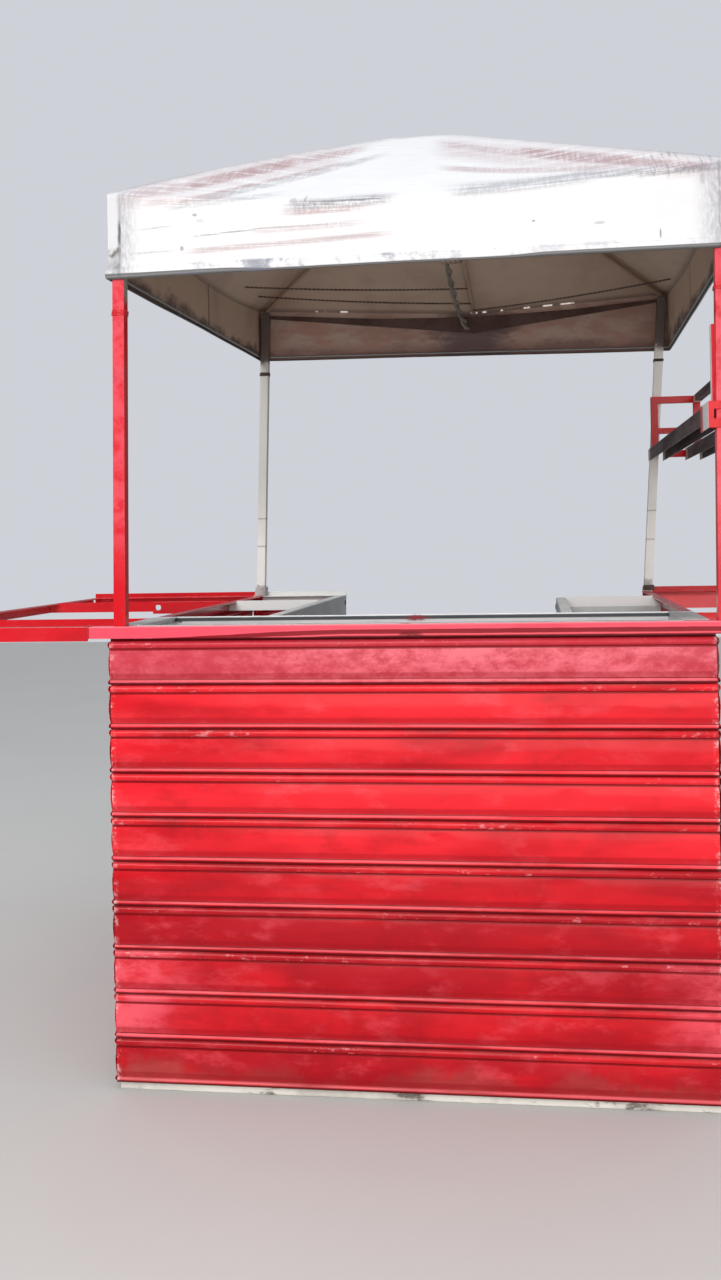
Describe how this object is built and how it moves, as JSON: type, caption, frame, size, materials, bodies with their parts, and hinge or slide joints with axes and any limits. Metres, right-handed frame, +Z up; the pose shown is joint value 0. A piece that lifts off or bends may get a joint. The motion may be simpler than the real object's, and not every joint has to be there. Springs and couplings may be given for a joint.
{
  "type": "street kiosk",
  "caption": "U-shaped street food kiosk clad in red interlocking roller-shutter laths, with side outriggers, a cantilever rack and a white cloth canopy on posts.",
  "frame": {"origin": "on the ground, under the middle of the stall's box", "axes": "+X to the customer's right, +Y away from the customer, +Z up"},
  "size_m": [2.26, 1.3922, 2.15],
  "materials": {
    "red_paint": "gloss",
    "lath_paint": "gloss",
    "white_paint": "satin",
    "zinc_sheet": "satin",
    "hem_steel": "satin",
    "bare_steel": "matte",
    "grimy_paint": "matte",
    "canopy_vinyl": "satin"
  },
  "bodies": {
    "root": {"front_bottom_rail": "white_paint", "left_bottom_rail": "white_paint", "right_bottom_rail": "white_paint", "wing_bottom_rails": "white_paint", "front_left_upright": "red_paint", "front_right_upright": "red_paint", "rear_left_upright": "red_paint", "rear_right_upright": "red_paint", "left_wing_uprights": "white_paint", "right_wing_uprights": "white_paint", "front_laths": "lath_paint", "left_laths": "lath_paint", "right_laths": "lath_paint", "wing_end_laths": "lath_paint", "left_inner_panel": "zinc_sheet", "right_inner_panel": "zinc_sheet", "right_end_panel": "zinc_sheet", "front_bar": "red_paint", "left_side_rail": "red_paint", "right_side_rail": "red_paint", "tray": "zinc_sheet", "tray_rear_rail": "red_paint", "left_wing_bars": "white_paint", "right_wing_bars": "white_paint", "left_extension_bar": "red_paint", "left_cross_bars": "red_paint", "left_rear_bar": "red_paint", "left_end_bar": "red_paint", "left_stub": "red_paint", "right_extension_bar": "red_paint", "right_cross_bars": "red_paint", "right_rear_bar": "red_paint", "right_end_bar": "red_paint", "right_stub": "red_paint", "front_left_post": "red_paint", "front_right_post": "red_paint", "rear_left_post": "white_paint", "rear_right_post": "white_paint", "canopy_cover": "canopy_vinyl", "hem_rods": "hem_steel", "rafters": "bare_steel", "purlins": "bare_steel", "rear_brace": "bare_steel", "rack_frames": "red_paint", "rack_rails": "grimy_paint"}
  },
  "joints": []
}
